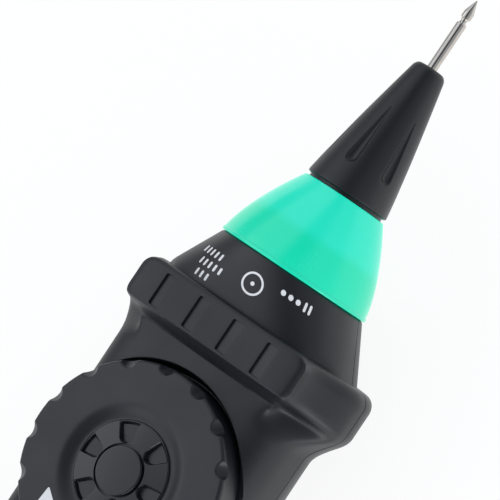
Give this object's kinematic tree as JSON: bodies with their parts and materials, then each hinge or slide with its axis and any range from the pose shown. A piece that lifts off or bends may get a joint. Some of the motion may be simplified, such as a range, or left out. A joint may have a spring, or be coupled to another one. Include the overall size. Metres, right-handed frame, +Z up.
{
  "type": "pen multimeter",
  "caption": "Hand-held pen multimeter with a needle probe at the nose, a lit ring, a finger guard, a rotary range dial, display, keys and a lead socket in the tail.",
  "frame": {"origin": "bottom centre of the bounding box, on the surface the meter lies on", "axes": "+X along the pen to the needle's point, +Y to the pen's left, +Z up through the dial and display"},
  "size_m": [0.208, 0.038, 0.0288],
  "materials": {
    "case_black": "satin moulded ABS",
    "dial_black": "satin moulded ABS",
    "key_grey": "matte silicone",
    "ring_green": "polished translucent polycarbonate",
    "needle_nickel": "bright nickel plate",
    "zinc_steel": "zinc plate",
    "contact_brass": "bright stamped brass",
    "natural_nylon": "natural nylon",
    "mark_white": "filled mark",
    "lamp_clear": "clear epoxy",
    "lens_clear": "polished acrylic",
    "display_glass": "polarised liquid crystal cell",
    "strip_rubber": "striped silicone connector",
    "board_green": "solder mask on glass epoxy",
    "component_black": "moulded epoxy",
    "fuse_glass": "glass tube with nickel caps",
    "cell_jacket": "printed jacket on steel"
  },
  "bodies": {
    "housing": {"upper_case": "case_black", "lower_case": "case_black", "battery_cover": "case_black", "cover_screw": "zinc_steel", "case_screws": "zinc_steel", "light_ring": "ring_green", "nose_cone": "case_black", "nose_tube": "natural_nylon", "probe_needle": "needle_nickel", "probe_clip": "contact_brass", "ring_lamps": "lamp_clear", "key_switches": "component_black", "display_lens": "lens_clear", "display_panel": "display_glass", "display_frame": "natural_nylon", "display_strips": "strip_rubber", "main_board": "board_green", "meter_chip": "component_black", "fuse": "fuse_glass", "fuse_clips": "contact_brass", "buzzer": "component_black", "cell_left": "cell_jacket", "cell_right": "cell_jacket", "cell_contacts": "zinc_steel", "cell_springs": "zinc_steel", "lead_socket": "contact_brass", "socket_sleeve": "component_black"},
    "dial": {"dial_knob": "dial_black", "dial_pointer": "mark_white", "switch_rotor": "natural_nylon", "rotor_wipers": "contact_brass", "detent_balls": "zinc_steel", "detent_springs": "zinc_steel"},
    "key_select": {"select_key": "key_grey"},
    "key_hold": {"hold_key": "key_grey"},
    "key_range": {"range_key": "key_grey"}
  },
  "joints": [
    {"name": "dial_turn", "type": "hinge", "parent": "housing", "child": "dial", "pos_m": [0.02605, 0, 0.0252], "axis": [0, 0, 1], "range_deg": [0, 72]},
    {"name": "select_press", "type": "slide", "parent": "housing", "child": "key_select", "axis": [0, 0, -1], "range_m": [0, 0.0006], "stiffness_N_per_m": 300, "springref_m": -0.0003},
    {"name": "hold_press", "type": "slide", "parent": "housing", "child": "key_hold", "axis": [0, 0, -1], "range_m": [0, 0.0006], "stiffness_N_per_m": 300, "springref_m": -0.0003},
    {"name": "range_press", "type": "slide", "parent": "housing", "child": "key_range", "axis": [0, 0, -1], "range_m": [0, 0.0006], "stiffness_N_per_m": 300, "springref_m": -0.0003}
  ]
}
